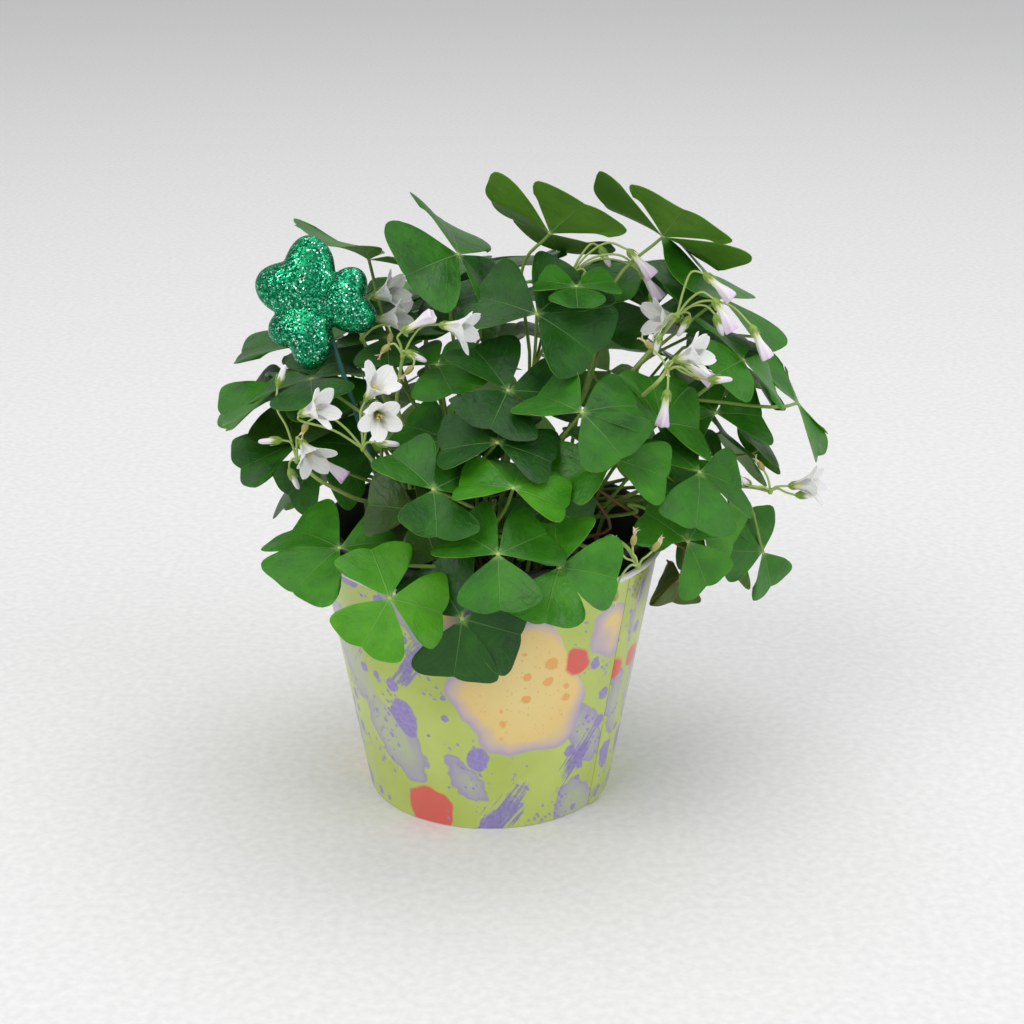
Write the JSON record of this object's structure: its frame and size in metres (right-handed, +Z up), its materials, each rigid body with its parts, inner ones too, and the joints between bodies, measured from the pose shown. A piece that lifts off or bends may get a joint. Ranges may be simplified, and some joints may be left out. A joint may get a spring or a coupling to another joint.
{
  "type": "potted shamrock plant",
  "caption": "Green-leaved shamrock (Oxalis) in flower, in a nursery pot inside a printed card pot cover, with a glitter foam shamrock pick on a stick.",
  "frame": {"origin": "middle of the flat underside of the pot cover, on the surface it stands on", "axes": "+Z up along the axis of the pots, front towards -Y, +X to the right of the front"},
  "size_m": [0.2991, 0.2577, 0.3045],
  "materials": {
    "printed_card": "coated card, printed, satin",
    "black_plastic": "thin black plastic, satin",
    "potting_soil": null,
    "glitter_foam": "green foam with glitter",
    "pick_stick": "dark green, smooth",
    "foliage": null,
    "blossom": null
  },
  "bodies": {
    "root": {"flowers_01": "blossom", "flowers_02": "blossom", "flowers_04": "blossom", "flowers_06": "blossom", "flowers_08": "blossom", "leaves_01_02_06_33": "foliage", "leaves_03_10": "foliage", "leaves_04_12_15_28_34": "foliage", "leaves_05": "foliage", "leaves_07_30": "foliage", "leaves_08_14_26": "foliage", "leaves_09": "foliage", "leaves_11": "foliage", "leaves_13_16_21_35_flowers_09": "foliage", "leaves_17_20_27_38_40_flowers_03": "foliage", "leaves_18": "foliage", "leaves_19_37_flowers_07": "foliage", "leaves_22": "foliage", "leaves_23": "foliage", "leaves_24_flowers_05": "foliage", "leaves_25": "foliage", "leaves_29": "foliage", "leaves_31": "foliage", "leaves_32": "foliage", "leaves_36": "foliage", "leaves_39": "foliage", "leaves_41": "foliage", "leaves_42": "foliage", "nursery_pot": "black_plastic", "pick_head": "glitter_foam", "pick_stick": "pick_stick", "pot_cover": "printed_card", "soil": "potting_soil"}
  },
  "joints": []
}
